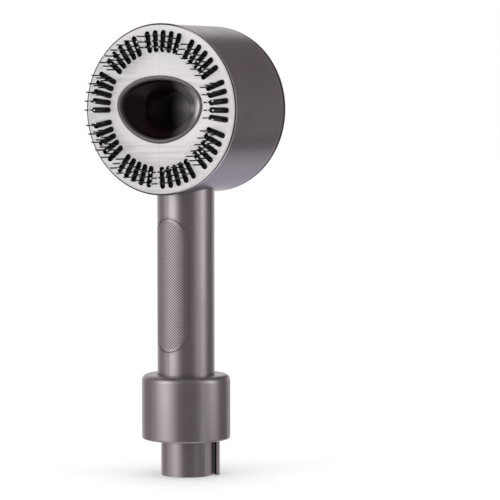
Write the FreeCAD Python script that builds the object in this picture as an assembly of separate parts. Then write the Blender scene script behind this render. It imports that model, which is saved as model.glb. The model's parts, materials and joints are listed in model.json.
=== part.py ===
import FreeCAD, Part
import math
import os

# Vacuum pet grooming brush. Millimetres, +Z up, z = 0 at the open end of the lower spigot.
# The handle stands on the Z axis. The drum's axis runs along Y, and its bristles point to -Y.

V = FreeCAD.Vector

# Main sizes
DRUM_Z = 204.5
TUBE_R = 16.0
TUBE_WALL = 2.0
FIT = 0.05
RUN = 0.05

# Lower adapter
SPIGOT_LEN = 20.2
SPIGOT_R = 14.8
SPIGOT_WALL = 1.9
SPIGOT_SHIFT = 0.75
RAIL_ANGLE = 30.0
RAIL_GAP = 1.0
RAIL_T = 2.25
RAIL_NECK_W = 2.6
RAIL_W = 10.0
COLLAR_STEP = 8.8
COLLAR_WALL = 2.0
COLLAR_TOP = 56.5
COLLAR_ROUND = 3.5
COLLAR_FOOT_ROUND = 1.2
TOP_T = 2.4
DISC_T = 2.5
SEAL_T = 1.5
FLANGE_T = 3.0
FLANGE_OUT = 2.0
SLEEVE_WALL = 2.0
COLLAR_SCREWS = 3
COLLAR_SCREW_OUT = 2.4
COLLAR_BOSS_R = 2.55

# Grip inlay
GRIP_Z0 = 69.4
GRIP_Z1 = 144.1
GRIP_HALF_ANGLE = 41.0
GRIP_TURN = -8.5
GRIP_DEPTH = 0.9
GRIP_SINK = 0.1
GRIP_GAP = 0.3

# Drum
DRUM_R = 46.7
DRUM_WALL = 2.0
FACE_Y = -28.7
BEZEL_STEP = 0.5
BEZEL_LEN = 2.8
BEZEL_ROUND = 0.9
BEZEL_EDGE = 1.0
PLATE_T = 1.6
SEAM = 0.4
REAR_Y = 31.8
REAR_STEP = 0.5
COVER_RIM_LEN = 1.2
COVER_ROUND = 1.0
COVER_T = 1.6
COVER_DISH = 3.3
COVER_HOLE_GAP = 1.15
COVER_SPIGOT_LEN = 1.9
NECK_R = TUBE_R - TUBE_WALL - FIT
NECK_WALL = 1.75
NECK_LEN = 18.0
NECK_SEAL_T = 2.0
PORT_INSET = 4.5

# Slots and bristles
GROUPS = 9
SLOTS = 5
GROUP_START = 3.4
SLOT_PITCH = 7.0
SLOT_INSET = 2.7
SLOT_LEN = 12.2
SLOT_WEB = 0.72
SLOT_END_STEPS = 4
PIN_PITCH = 3.1
PIN_R = 0.32
PIN_OUT = 12.9
PIN_ROOT = 1.6

# Mouth
LIP_INSET = 4.3
LIP_NARROW_TOP = 10.67
LIP_NARROW_LOW = 5.95
LIP_RISE = 2.3
LIP_POWER = 1.86
LIP_W = 2.5
LIP_OUT = 0.6
LIP_STEP = 1.0
MOUTH_SIDES = 40
FUNNEL_WALL = 1.5
THROAT_INSET = 2.0
THROAT_NARROW = 2.7
BOWL = ((0.05, 0.985), (0.12, 0.87), (0.22, 0.56), (0.34, 0.24), (0.52, 0.06), (1.0, 0.0))
THROAT_LEN = 2.5
HIDDEN_SIDES = 48

# Air box and guide chassis
BOX_Y0 = -8.0
BOX_Y1 = 9.0
BOX_POST_GAP = 0.76
BOX_WALL = 1.5
BOX_FLANGE = 2.0
BOX_FLANGE_T = 2.0
BOX_EAR_OUT = 5.0
BOX_EAR_R = 3.6
CHASSIS_T = 3.0
CHASSIS_SCREW_INSET = 3.5
CHASSIS_BOSS_R = 4.0
CHASSIS_BOSS_LEN = 8.0
CHASSIS_SCREW_ANGLES = (55.0, 125.0, 235.0, 305.0)
BUSH_R = 4.6
BUSH_BACK = 4.0

# Moving bristle carrier
STROKE = 13.5
PAD_GAP = 0.4
PAD_T = 2.2
PAD_INSET = 1.1
PAD_HALF_ANGLE = 16.2
PAD_STEPS = 6
RING_EDGE_IN = 0.1
RING_EDGE_OUT = 0.3
RING_T = 2.5
POST_R = 3.0
POST_INSET = 0.9
POST_ANGLES = (23.4, 143.4, 263.4)
SPIDER_Y = 9.6
SPIDER_T = 2.0
SPIDER_ARM_W = 8.0
HUB_WALL = 1.2
HUB_LEN = 3.4
BUTTON_R = 15.5
BUTTON_WALL = 1.4
BUTTON_OUT = 4.7
BUTTON_DISH = 1.3
BUTTON_ROUND = 0.7
BUTTON_TOP_T = 2.0
SPRING_WIRE = 1.3
SPRING_R = 11.7
SPRING_TURNS = 4.5
SPRING_SIDES = 5
SPRING_STEPS = 14

# Screws
SCREW_R = 1.0
HEAD_R = 1.9
HEAD_T = 1.2

# Sizes that follow from the ones above
RAIL_NECK_R = SPIGOT_R + RAIL_GAP
RAIL_TOP_R = RAIL_NECK_R + RAIL_T
COLLAR_R = TUBE_R + COLLAR_STEP
FLANGE_R = TUBE_R + FLANGE_OUT
COLLAR_SCREW_PCR = FLANGE_R + COLLAR_SCREW_OUT
BEZEL_R = DRUM_R + BEZEL_STEP
PLATE_R = BEZEL_R - BEZEL_EDGE
REAR_R = DRUM_R - REAR_STEP
REACH = 1.5 * DRUM_R
SLOT_R1 = PLATE_R - SLOT_INSET
SLOT_R0 = SLOT_R1 - SLOT_LEN
SLOT_W = 2 * SLOT_R0 * math.sin(math.radians(SLOT_PITCH / 2)) - SLOT_WEB
SLOT_MID = (SLOT_R0 + SLOT_R1) / 2
PIN_RADII = (SLOT_MID - PIN_PITCH, SLOT_MID, SLOT_MID + PIN_PITCH)
PAD_R0 = SLOT_R0 + PAD_INSET
PAD_R1 = SLOT_R1 - PAD_INSET
RING_R0 = SLOT_R0 - RING_EDGE_IN
RING_R1 = SLOT_R1 + RING_EDGE_OUT
POST_PCR = SLOT_MID - POST_INSET
LIP_A = SLOT_R0 - LIP_INSET
LIP_TOP = LIP_A - LIP_NARROW_TOP
LIP_LOW = LIP_A - LIP_NARROW_LOW
COVER_HOLE_R = BUTTON_R + COVER_HOLE_GAP
PLATE_BACK = FACE_Y + PLATE_T
BEZEL_BACK = FACE_Y + BEZEL_LEN
DRUM_Y0 = BEZEL_BACK + SEAM
DRUM_Y1 = REAR_Y - COVER_RIM_LEN
DRUM_IN_R = DRUM_R - DRUM_WALL
CHASSIS_SCREW_PCR = DRUM_IN_R - CHASSIS_SCREW_INSET
TUBE_TOP = DRUM_Z - DRUM_R / 2
DISC_TOP = SPIGOT_LEN + DISC_T
TUBE_Z0 = DISC_TOP + SEAL_T
SLEEVE_Z0 = TUBE_Z0 + FLANGE_T + 0.1
BOX_R = POST_PCR * math.sin(math.radians(POST_ANGLES[1])) - POST_R - BOX_POST_GAP - BOX_FLANGE
BOX_IN_R = BOX_R - BOX_WALL
BOX_EAR_X = BOX_R + BOX_EAR_OUT
PORT_HALF = BOX_IN_R - PORT_INSET
THROAT_A = BOX_IN_R - THROAT_INSET
THROAT_B = THROAT_A - THROAT_NARROW
CHASSIS_Y0 = BOX_Y0 + BOX_FLANGE_T
CHASSIS_Y1 = CHASSIS_Y0 + CHASSIS_T
PAD_Y0 = PLATE_BACK + PAD_GAP
PAD_Y1 = PAD_Y0 + PAD_T
RING_Y1 = PAD_Y1 + RING_T
COVER_HOLE_Y = REAR_Y - COVER_DISH
BUTTON_TOP = COVER_HOLE_Y + BUTTON_OUT
SPIDER_Y1 = SPIDER_Y + SPIDER_T


def save(shape, name):
    shape.removeSplitter().exportStep("parts/%s.step" % name)


def save_raw(shape, name):
    shape.exportStep("parts/%s.step" % name)


def drum_point(r, angle, y):
    a = math.radians(angle)
    return V(r * math.sin(a), y, DRUM_Z + r * math.cos(a))


def cyl_y(r, y0, y1, x=0.0, z=DRUM_Z):
    return Part.makeCylinder(r, y1 - y0, V(x, y0, z), V(0, 1, 0))


def cyl_z(r, z0, z1, x=0.0, y=0.0):
    return Part.makeCylinder(r, z1 - z0, V(x, y, z0), V(0, 0, 1))


# Plain many-sided prisms, for small or hidden round pieces
def prism_y(r, sides, y0, y1, x=0.0, z=DRUM_Z):
    step = 2 * math.pi / sides
    ring = [V(x + r * math.cos(step * i), y0, z + r * math.sin(step * i)) for i in range(sides + 1)]
    return Part.Face(Part.makePolygon(ring)).extrude(V(0, y1 - y0, 0))


def prism_z(r, sides, z0, z1, x=0.0, y=0.0):
    step = 2 * math.pi / sides
    ring = [V(x + r * math.cos(step * i), y + r * math.sin(step * i), z0) for i in range(sides + 1)]
    return Part.Face(Part.makePolygon(ring)).extrude(V(0, 0, z1 - z0))


def rod_y(r, centre_r, angle, y0, y1):
    p = drum_point(centre_r, angle, 0)
    return cyl_y(r, y0, y1, p.x, p.z)


def box(x0, x1, y0, y1, z0, z1):
    return Part.makeBox(x1 - x0, y1 - y0, z1 - z0, V(x0, y0, z0))


def fuse(shapes):
    return shapes[0].multiFuse(shapes[1:])


# A closed profile of (radius, y) pairs turned about the drum's axis
def turn_y(points):
    wire = Part.makePolygon([V(r, y, DRUM_Z) for r, y in points + [points[0]]])
    return Part.Face(wire).revolve(V(0, 0, DRUM_Z), V(0, 1, 0), 360)


# A closed profile of (radius, z) pairs turned about the handle's axis
def turn_z(points):
    wire = Part.makePolygon([V(r, 0, z) for r, z in points + [points[0]]])
    return Part.Face(wire).revolve(V(0, 0, 0), V(0, 0, 1), 360)


def bend(cx, cy, r, a0, a1, steps=6):
    out = []
    for i in range(steps + 1):
        a = math.radians(a0 + (a1 - a0) * i / steps)
        out.append((cx + r * math.cos(a), cy + r * math.sin(a)))
    return out


# Hexagon-head screws: head at the open end, shank along the given direction
def screw_y(p, length):
    head = prism_y(HEAD_R, 6, p.y, p.y + HEAD_T, p.x, p.z)
    return head.fuse(prism_y(SCREW_R, 6, p.y + HEAD_T, p.y + HEAD_T + length, p.x, p.z))


def screw_z(p, length):
    head = prism_z(HEAD_R, 6, p.z, p.z + HEAD_T, p.x, p.y)
    return head.fuse(prism_z(SCREW_R, 6, p.z + HEAD_T, p.z + HEAD_T + length, p.x, p.y))


# The mouth's outline is a wide oval, fuller above its widest line than below it
def oval(a, top, low, rise, power, y):
    points = []
    for i in range(MOUTH_SIDES):
        t = 2 * math.pi * (i + 0.5) / MOUTH_SIDES
        c = math.cos(t)
        s = math.sin(t)
        n = power if s < 0 else 2.0
        h = low if s < 0 else top
        x = a * math.copysign(abs(c) ** (2 / n), c)
        z = rise + h * math.copysign(abs(s) ** (2 / n), s)
        points.append(V(x, y, DRUM_Z + z))
    return points


def lip_ring(grow, y):
    return oval(LIP_A + grow, LIP_TOP + grow, LIP_LOW + grow, LIP_RISE, LIP_POWER, y)


def lip_prism(grow, y0, y1):
    ring = lip_ring(grow, y0)
    return Part.Face(Part.makePolygon(ring + [ring[0]])).extrude(V(0, y1 - y0, 0))


def triangle(a, b, c):
    return Part.Face(Part.makePolygon([a, b, c, a]))


# A closed solid through a row of point rings that all have the same count
def skin(rings):
    faces = []
    n = len(rings[0])
    for p, q in zip(rings[:-1], rings[1:]):
        for i in range(n):
            j = (i + 1) % n
            faces.append(triangle(p[i], q[i], q[j]))
            faces.append(triangle(p[i], q[j], p[j]))
    for end in (rings[0], rings[-1]):
        faces.append(Part.Face(Part.makePolygon(end + [end[0]])))
    solid = Part.Solid(Part.Shell(faces))
    if solid.Volume < 0:
        solid.reverse()
    return solid


# Funnel sections blend from the lip's oval to the smaller, level one of the throat
def funnel_section(depth, share, grow):
    a = THROAT_A + (LIP_A - LIP_W - THROAT_A) * share + grow
    top = THROAT_B + (LIP_TOP - LIP_W - THROAT_B) * share + grow
    low = THROAT_B + (LIP_LOW - LIP_W - THROAT_B) * share + grow
    power = 2.0 + (LIP_POWER - 2.0) * share
    return oval(a, top, low, LIP_RISE * share, power, depth)


def funnel_solid(grow, flare, y0, y1):
    bowl_end = y1 - THROAT_LEN
    rings = [funnel_section(y0, 1.0, grow + flare)]
    rings += [funnel_section(y0 + (bowl_end - y0) * t, share, grow) for t, share in BOWL]
    return skin(rings + [funnel_section(y1, 0.0, grow)])


# Adapter
def shift_point():
    a = math.radians(RAIL_ANGLE)
    return SPIGOT_SHIFT * math.cos(a), SPIGOT_SHIFT * math.sin(a)


def rail(z0, z1):
    neck = box(SPIGOT_R - 2.0, RAIL_NECK_R + 0.5, -RAIL_NECK_W / 2, RAIL_NECK_W / 2, z0, z1)
    head = box(RAIL_NECK_R, RAIL_TOP_R, -RAIL_W / 2, RAIL_W / 2, z0, z1)
    edges = [e for e in head.Edges if abs(e.tangentAt(e.FirstParameter).z) > 0.9]
    head = head.makeFillet(0.5, edges)
    return neck.fuse(head)


def collar_screw_points(z):
    out = []
    for i in range(COLLAR_SCREWS):
        a = math.radians(90 + 360.0 * i / COLLAR_SCREWS)
        out.append(V(COLLAR_SCREW_PCR * math.cos(a), COLLAR_SCREW_PCR * math.sin(a), z))
    return out


def adapter_spigot():
    sx, sy = shift_point()
    disc = cyl_z(COLLAR_R - COLLAR_WALL - FIT, SPIGOT_LEN, DISC_TOP)
    tube = cyl_z(SPIGOT_R, 0, SPIGOT_LEN + 1.0, sx, sy)
    key = rail(0, SPIGOT_LEN + 0.5)
    key.rotate(V(0, 0, 0), V(0, 0, 1), RAIL_ANGLE)
    key.translate(V(sx, sy, 0))
    body = fuse([disc, tube, key])
    body = body.cut(cyl_z(SPIGOT_R - SPIGOT_WALL, -1, DISC_TOP + 1, sx, sy))
    for p in collar_screw_points(0):
        body = body.cut(prism_z(SCREW_R + FIT, 6, SPIGOT_LEN - 1, DISC_TOP + 1, p.x, p.y))
        body = body.cut(prism_z(HEAD_R + 0.3, 12, SPIGOT_LEN - 1, SPIGOT_LEN + HEAD_T, p.x, p.y))
    return body


def adapter_collar():
    r = COLLAR_R
    inner = TUBE_R + RUN
    foot = COLLAR_FOOT_ROUND
    outline = [(inner, SLEEVE_Z0), (inner, COLLAR_TOP)]
    outline += bend(r - COLLAR_ROUND, COLLAR_TOP - COLLAR_ROUND, COLLAR_ROUND, 90, 0, 4)
    outline += bend(r - foot, SPIGOT_LEN + foot, foot, 0, -90, 3)
    outline += [(r - COLLAR_WALL, SPIGOT_LEN), (r - COLLAR_WALL, COLLAR_TOP - TOP_T)]
    outline += [(inner + SLEEVE_WALL, COLLAR_TOP - TOP_T), (inner + SLEEVE_WALL, SLEEVE_Z0)]
    body = turn_z(outline)
    bosses = [prism_z(COLLAR_BOSS_R, 16, DISC_TOP, COLLAR_TOP - 1, p.x, p.y) for p in collar_screw_points(0)]
    holes = [prism_z(SCREW_R + FIT, 6, DISC_TOP - 1, DISC_TOP + 8.5, p.x, p.y) for p in collar_screw_points(0)]
    room = cyl_z(FLANGE_R + 0.4, DISC_TOP - 1, SLEEVE_Z0)
    return body.fuse(fuse(bosses).cut(room)).cut(fuse(holes))


def thrust_seal():
    ring = prism_z(FLANGE_R, HIDDEN_SIDES, DISC_TOP, TUBE_Z0)
    return ring.cut(prism_z(TUBE_R - TUBE_WALL, HIDDEN_SIDES, DISC_TOP - 1, TUBE_Z0 + 1))


def collar_screws():
    screws = [screw_z(p, 8.0) for p in collar_screw_points(SPIGOT_LEN)]
    return Part.makeCompound(screws)


# Handle
def stadium(z0, z1, half_w):
    r = half_w
    mid = box(-r, r, -1.3 * TUBE_R, 0, z0 + r, z1 - r)
    low = cyl_y(r, -1.3 * TUBE_R, 0, 0, z0 + r)
    top = cyl_y(r, -1.3 * TUBE_R, 0, 0, z1 - r)
    body = fuse([mid, low, top])
    body.rotate(V(0, 0, 0), V(0, 0, 1), GRIP_TURN)
    return body


def grip_half():
    return TUBE_R * math.sin(math.radians(GRIP_HALF_ANGLE))


def handle_tube():
    inner = TUBE_R - TUBE_WALL
    tube = turn_z([(inner, TUBE_Z0), (FLANGE_R, TUBE_Z0), (FLANGE_R, TUBE_Z0 + FLANGE_T),
                   (TUBE_R, TUBE_Z0 + FLANGE_T), (TUBE_R, TUBE_TOP), (inner, TUBE_TOP)])
    tube = tube.cut(cyl_y(DRUM_R + FIT, -REACH, REACH))
    ring = cyl_z(TUBE_R + 1, GRIP_Z0 - 5, GRIP_Z1 + 5).cut(cyl_z(TUBE_R - GRIP_DEPTH, GRIP_Z0 - 6, GRIP_Z1 + 6))
    return tube.cut(ring.common(stadium(GRIP_Z0, GRIP_Z1, grip_half())))


def grip_pad():
    ring = cyl_z(TUBE_R - GRIP_SINK, GRIP_Z0, GRIP_Z1).cut(cyl_z(TUBE_R - GRIP_DEPTH, GRIP_Z0 - 1, GRIP_Z1 + 1))
    return ring.common(stadium(GRIP_Z0 + GRIP_GAP, GRIP_Z1 - GRIP_GAP, grip_half() - GRIP_GAP))


def neck_bottom():
    return DRUM_Z - DRUM_R - NECK_LEN


def neck_seal():
    z = neck_bottom()
    ring = prism_z(NECK_R - 0.1, HIDDEN_SIDES, z - NECK_SEAL_T, z)
    return ring.cut(prism_z(NECK_R - NECK_WALL, HIDDEN_SIDES, z - NECK_SEAL_T - 1, z + 1))


# Drum
def port(z0, z1):
    return box(-PORT_HALF, PORT_HALF, BOX_Y0 + BOX_WALL, BOX_Y1 - BOX_WALL, z0, z1)


def drum_housing():
    shell = turn_y([(DRUM_IN_R, DRUM_Y0 - SEAM), (BEZEL_R - 1.5, DRUM_Y0 - SEAM), (BEZEL_R - 1.5, DRUM_Y0),
                    (DRUM_R, DRUM_Y0), (DRUM_R, DRUM_Y1), (DRUM_IN_R, DRUM_Y1)])
    neck = cyl_z(NECK_R, neck_bottom(), TUBE_TOP).cut(cyl_y(DRUM_R - 1, -REACH, REACH))
    body = shell.fuse(neck)
    body = body.fuse(fuse(housing_bosses()))
    bore = cyl_z(NECK_R - NECK_WALL, neck_bottom() - 1, TUBE_TOP)
    body = body.cut(bore.cut(cyl_y(DRUM_R - 0.6, -REACH, REACH)))
    body = body.cut(port(DRUM_Z - DRUM_R - 8, TUBE_TOP - 6))
    return body.cut(fuse(boss_holes(SCREW_R + FIT)))


def housing_bosses():
    inside = cyl_y(DRUM_IN_R + 0.8, CHASSIS_Y1, CHASSIS_Y1 + CHASSIS_BOSS_LEN)
    ends = [drum_point(CHASSIS_SCREW_PCR, a, 0) for a in CHASSIS_SCREW_ANGLES]
    return [prism_y(CHASSIS_BOSS_R, 16, CHASSIS_Y1, CHASSIS_Y1 + CHASSIS_BOSS_LEN,
                    p.x, p.z).common(inside) for p in ends]


def boss_holes(r):
    ends = [drum_point(CHASSIS_SCREW_PCR, a, 0) for a in CHASSIS_SCREW_ANGLES]
    return [prism_y(r, 6, CHASSIS_Y0 - 1, CHASSIS_Y1 + 6.5, p.x, p.z) for p in ends]


def front_bezel():
    r = BEZEL_R
    k = BEZEL_ROUND
    bore = PLATE_R + FIT
    outline = [(bore, FACE_Y)] + bend(r - k, FACE_Y + k, k, -90, 0, 2)
    outline += [(r, BEZEL_BACK), (DRUM_IN_R, BEZEL_BACK), (DRUM_IN_R, PLATE_BACK), (bore, PLATE_BACK)]
    return turn_y(outline)


def slot_tool(angle):
    half = SLOT_W / 2
    length = SLOT_R1 - SLOT_R0 - SLOT_W
    low = DRUM_Z + SLOT_R0 + half
    ring = [V(x, FACE_Y - 1, low + length + z) for x, z in bend(0, 0, half, 0, 180, SLOT_END_STEPS)]
    ring += [V(x, FACE_Y - 1, low + z) for x, z in bend(0, 0, half, 180, 360, SLOT_END_STEPS)]
    tool = Part.Face(Part.makePolygon(ring + [ring[0]])).extrude(V(0, PLATE_T + 2, 0))
    tool.rotate(V(0, 0, DRUM_Z), V(0, 1, 0), angle)
    return tool


def slot_angles(group):
    mid = GROUP_START + 360.0 * group / GROUPS
    return [mid + SLOT_PITCH * (j - (SLOTS - 1) / 2.0) for j in range(SLOTS)]


def face_plate():
    plate = cyl_y(PLATE_R, FACE_Y, PLATE_BACK)
    step = LIP_STEP - FIT
    plate = plate.cut(lip_prism(-step, FACE_Y - 1, PLATE_BACK + 1))
    tools = [slot_tool(a) for g in range(GROUPS) for a in slot_angles(g)]
    return plate.cut(Part.makeCompound(tools))


def mouth_funnel():
    lip = skin([lip_ring(0.0, FACE_Y), lip_ring(-0.15, FACE_Y - 0.6 * LIP_OUT), lip_ring(-0.7, FACE_Y - LIP_OUT)])
    neck = lip_prism(-LIP_STEP, FACE_Y - 0.1, PLATE_BACK + 0.5)
    outer = funnel_solid(FUNNEL_WALL, 0.0, FACE_Y, BOX_Y0 + BOX_WALL)
    inner = funnel_solid(0.0, 0.6, FACE_Y - LIP_OUT - 0.02, BOX_Y0 + BOX_WALL + 0.02)
    return fuse([lip, neck, outer]).cut(inner)


# Air box: a round-topped hollow box that opens downwards into the handle
def keyhole(r, y0, y1, low):
    top = cyl_y(r, y0, y1)
    leg = box(-r, r, y0, y1, DRUM_Z - low, DRUM_Z)
    return top.fuse(leg)


def air_box():
    limit = cyl_y(DRUM_IN_R - FIT, BOX_Y0 - 1, BOX_Y1 + 1)
    ears = [prism_y(BOX_EAR_R, 16, BOX_Y0, CHASSIS_Y0, x) for x in (-BOX_EAR_X, BOX_EAR_X)]
    ears.append(box(-BOX_EAR_X, BOX_EAR_X, BOX_Y0, CHASSIS_Y0, DRUM_Z - BOX_EAR_R, DRUM_Z + BOX_EAR_R))
    flange = keyhole(BOX_R + BOX_FLANGE, BOX_Y0, CHASSIS_Y0, REACH)
    body = fuse([keyhole(BOX_R, BOX_Y0, BOX_Y1, REACH), flange] + ears).common(limit)
    body = body.cut(keyhole(BOX_IN_R, BOX_Y0 + BOX_WALL, BOX_Y1 - BOX_WALL, REACH))
    throat = funnel_section(BOX_Y0 - 1, 0.0, FUNNEL_WALL + FIT)
    body = body.cut(Part.Face(Part.makePolygon(throat + [throat[0]])).extrude(V(0, BOX_WALL + 2, 0)))
    for x in (-BOX_EAR_X, BOX_EAR_X):
        body = body.cut(prism_y(SCREW_R + FIT, 6, BOX_Y0 - 1, CHASSIS_Y0 + 1, x))
    return body


def guide_chassis():
    plate = prism_y(DRUM_IN_R - FIT, HIDDEN_SIDES, CHASSIS_Y0, CHASSIS_Y1)
    ends = [drum_point(POST_PCR, a, 0) for a in POST_ANGLES]
    bushes = [prism_y(BUSH_R, 16, CHASSIS_Y0, BUSH_BACK, p.x, p.z) for p in ends]
    body = fuse([plate] + bushes)
    body = body.cut(keyhole(BOX_R + FIT, BOX_Y0 - 1, BUSH_BACK + 1, REACH))
    body = body.cut(fuse([rod_y(POST_R + RUN, POST_PCR, a, BOX_Y0 - 1, BUSH_BACK + 1) for a in POST_ANGLES]))
    body = body.cut(fuse(boss_holes(SCREW_R + FIT)))
    for x in (-BOX_EAR_X, BOX_EAR_X):
        body = body.cut(prism_y(SCREW_R + FIT, 6, CHASSIS_Y0 - 1, CHASSIS_Y1 + 1, x))
    return body


def chassis_screws():
    ends = [drum_point(CHASSIS_SCREW_PCR, a, CHASSIS_Y0 - HEAD_T) for a in CHASSIS_SCREW_ANGLES]
    return Part.makeCompound([screw_y(p, CHASSIS_T + 5.5) for p in ends])


def air_box_screws():
    ends = [V(x, BOX_Y0 - HEAD_T, DRUM_Z) for x in (-BOX_EAR_X, BOX_EAR_X)]
    return Part.makeCompound([screw_y(p, BOX_FLANGE_T + CHASSIS_T) for p in ends])


def rear_cover():
    k = COVER_ROUND
    r = REAR_R
    locate = DRUM_IN_R - FIT
    outline = [(COVER_HOLE_R, COVER_HOLE_Y), (r - k - 0.4, REAR_Y)]
    outline += bend(r - k, REAR_Y - k, k, 90, 0, 3)
    outline += [(r, DRUM_Y1), (locate, DRUM_Y1), (locate, DRUM_Y1 - COVER_SPIGOT_LEN)]
    outline += [(COVER_HOLE_R, COVER_HOLE_Y - COVER_T)]
    return turn_y(outline)


# Moving carrier
def post_ends(y):
    return [drum_point(POST_PCR, a, y) for a in POST_ANGLES]


def carrier_ring():
    ring = prism_y(RING_R1, HIDDEN_SIDES, PAD_Y1, RING_Y1).cut(
        prism_y(RING_R0, HIDDEN_SIDES, PAD_Y1 - 1, RING_Y1 + 1))
    holes = [prism_y(SCREW_R + FIT, 6, PAD_Y1 - 1, RING_Y1 + 1, p.x, p.z) for p in post_ends(0)]
    sinks = [prism_y(HEAD_R + 0.3, 12, PAD_Y1 - 1, PAD_Y1 + HEAD_T, p.x, p.z) for p in post_ends(0)]
    return ring.cut(fuse(holes + sinks))


def ring_screws():
    return Part.makeCompound([screw_y(p, 7.0) for p in post_ends(PAD_Y1)])


def pad(group):
    h = PAD_HALF_ANGLE
    outer = [drum_point(PAD_R1, h - 1.4 - (2 * h - 2.8) * i / PAD_STEPS, PAD_Y0) for i in range(PAD_STEPS + 1)]
    inner = [drum_point(PAD_R0, (2 * h - 3.6) * i / PAD_STEPS - h + 1.8, PAD_Y0) for i in range(PAD_STEPS + 1)]
    corners = [drum_point(PAD_R1 - 1.0, -h, PAD_Y0), drum_point(PAD_R0 + 1.0, -h, PAD_Y0)]
    corners += [drum_point(PAD_R0 + 1.0, h, PAD_Y0), drum_point(PAD_R1 - 1.0, h, PAD_Y0)]
    ring = outer + corners[:2] + inner + corners[2:]
    sector = Part.Face(Part.makePolygon(ring + [ring[0]])).extrude(V(0, PAD_T, 0))
    sector.rotate(V(0, 0, DRUM_Z), V(0, 1, 0), GROUP_START + 360.0 * group / GROUPS)
    return sector


# Each bristle is a fine straight wire with six flats
def pin(r, angle):
    y = FACE_Y - PIN_OUT
    mid = drum_point(r, angle, y)
    ring = [mid + V(PIN_R * math.cos(math.radians(60 * i)), 0, PIN_R * math.sin(math.radians(60 * i)))
            for i in range(7)]
    return Part.Face(Part.makePolygon(ring)).extrude(V(0, PAD_Y0 + PIN_ROOT - y, 0))


def pins(group):
    return Part.makeCompound([pin(r, a) for a in slot_angles(group) for r in PIN_RADII])


def push_frame():
    hub_r = BUTTON_R
    bore = BUTTON_R - BUTTON_WALL - FIT - HUB_WALL
    plate = cyl_y(hub_r, SPIDER_Y, SPIDER_Y1)
    parts = [plate, cyl_y(bore + HUB_WALL, SPIDER_Y, SPIDER_Y1 + HUB_LEN)]
    for a in POST_ANGLES:
        arm = box(-SPIDER_ARM_W / 2, SPIDER_ARM_W / 2, SPIDER_Y, SPIDER_Y1, DRUM_Z + bore + 0.5, DRUM_Z + POST_PCR)
        arm.rotate(V(0, 0, DRUM_Z), V(0, 1, 0), a)
        parts.append(arm)
        parts.append(rod_y(SPIDER_ARM_W / 2, POST_PCR, a, SPIDER_Y, SPIDER_Y1))
        parts.append(rod_y(POST_R, POST_PCR, a, RING_Y1, SPIDER_Y1))
    body = fuse(parts)
    body = body.cut(cyl_y(bore, SPIDER_Y - 1, SPIDER_Y1 + HUB_LEN + 1))
    return body.cut(fuse([prism_y(SCREW_R + FIT, 6, RING_Y1 - 1, RING_Y1 + 7, p.x, p.z) for p in post_ends(0)]))


def thumb_button():
    k = BUTTON_ROUND
    r = BUTTON_R
    inner = r - BUTTON_WALL
    under = BUTTON_TOP - BUTTON_DISH - BUTTON_TOP_T
    dish = [((r - 1.4) * t, BUTTON_TOP - BUTTON_DISH * (1 - t * t)) for t in (0.0, 0.6)]
    dish.append((r - 1.4, BUTTON_TOP))
    outline = [(0.0, under)] + dish + bend(r - k, BUTTON_TOP - k, k, 90, 0, 2)
    outline += [(r, SPIDER_Y1), (inner, SPIDER_Y1), (inner, under)]
    return turn_y(outline)


def spring_length():
    under = BUTTON_TOP - BUTTON_DISH - BUTTON_TOP_T
    return under - BOX_Y1 - SPRING_WIRE - 2 * FIT


# The coil is a chain of short straight lengths of six-sided wire
def coil_ring(turn, length):
    a = 2 * math.pi * turn
    y = BOX_Y1 + SPRING_WIRE / 2 + FIT + length * turn / SPRING_TURNS
    ring = []
    for i in range(SPRING_SIDES):
        b = 2 * math.pi * i / SPRING_SIDES
        r = SPRING_R + SPRING_WIRE / 2 * math.cos(b)
        ring.append(V(r * math.cos(a), y + SPRING_WIRE / 2 * math.sin(b), DRUM_Z + r * math.sin(a)))
    return ring


def return_spring():
    length = spring_length()
    count = int(SPRING_TURNS * SPRING_STEPS)
    return skin([coil_ring(SPRING_TURNS * i / count, length) for i in range(count + 1)])


def main():
    os.makedirs("parts", exist_ok=True)
    save(adapter_collar(), "adapter_collar")
    save(adapter_spigot(), "adapter_spigot")
    save(thrust_seal(), "thrust_seal")
    save_raw(collar_screws(), "collar_screws")
    save(handle_tube(), "handle_tube")
    save(grip_pad(), "grip_pad")
    save(neck_seal(), "neck_seal")
    save(drum_housing(), "drum_housing")
    save(front_bezel(), "front_bezel")
    save(face_plate(), "face_plate")
    save(mouth_funnel(), "mouth_funnel")
    save(air_box(), "air_box")
    save(guide_chassis(), "guide_chassis")
    save_raw(chassis_screws(), "chassis_screws")
    save_raw(air_box_screws(), "air_box_screws")
    save(rear_cover(), "rear_cover")
    save(thumb_button(), "thumb_button")
    save(push_frame(), "push_frame")
    save(carrier_ring(), "carrier_ring")
    save_raw(ring_screws(), "ring_screws")
    save_raw(return_spring(), "return_spring")
    for g in range(GROUPS):
        save(pad(g), "bristle_pad_%d" % (g + 1))
        save_raw(pins(g), "bristles_%d" % (g + 1))


main()
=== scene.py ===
import json
import math

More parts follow.
